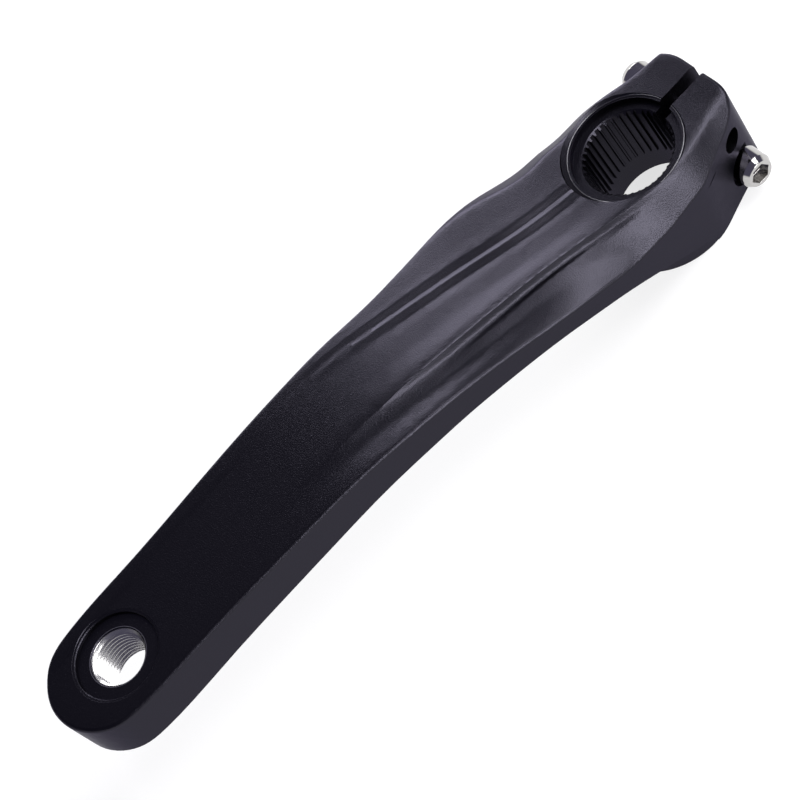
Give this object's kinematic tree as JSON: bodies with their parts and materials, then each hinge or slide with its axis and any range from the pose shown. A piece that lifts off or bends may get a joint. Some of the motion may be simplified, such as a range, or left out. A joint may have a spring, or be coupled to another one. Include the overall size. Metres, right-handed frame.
{
  "type": "bicycle crank arm",
  "caption": "Forged left-hand bicycle crank arm with a fluted outer face, a slit clamp boss with a splined bore, slack pinch bolts and a threaded pedal eye.",
  "frame": {"origin": "on the spindle axis, at the boss's inner face", "axes": "+X from the spindle axis to the pedal axis, +Z outwards along the spindle axis, away from the bicycle frame"},
  "size_m": [0.2161, 0.0466, 0.0425],
  "materials": {
    "anodised_black": "satin black anodised, bare metal in the pedal thread",
    "bolt_steel": "bright plated"
  },
  "bodies": {
    "root": {"crank_arm": "anodised_black", "pinch_bolts": "bolt_steel"}
  },
  "joints": []
}
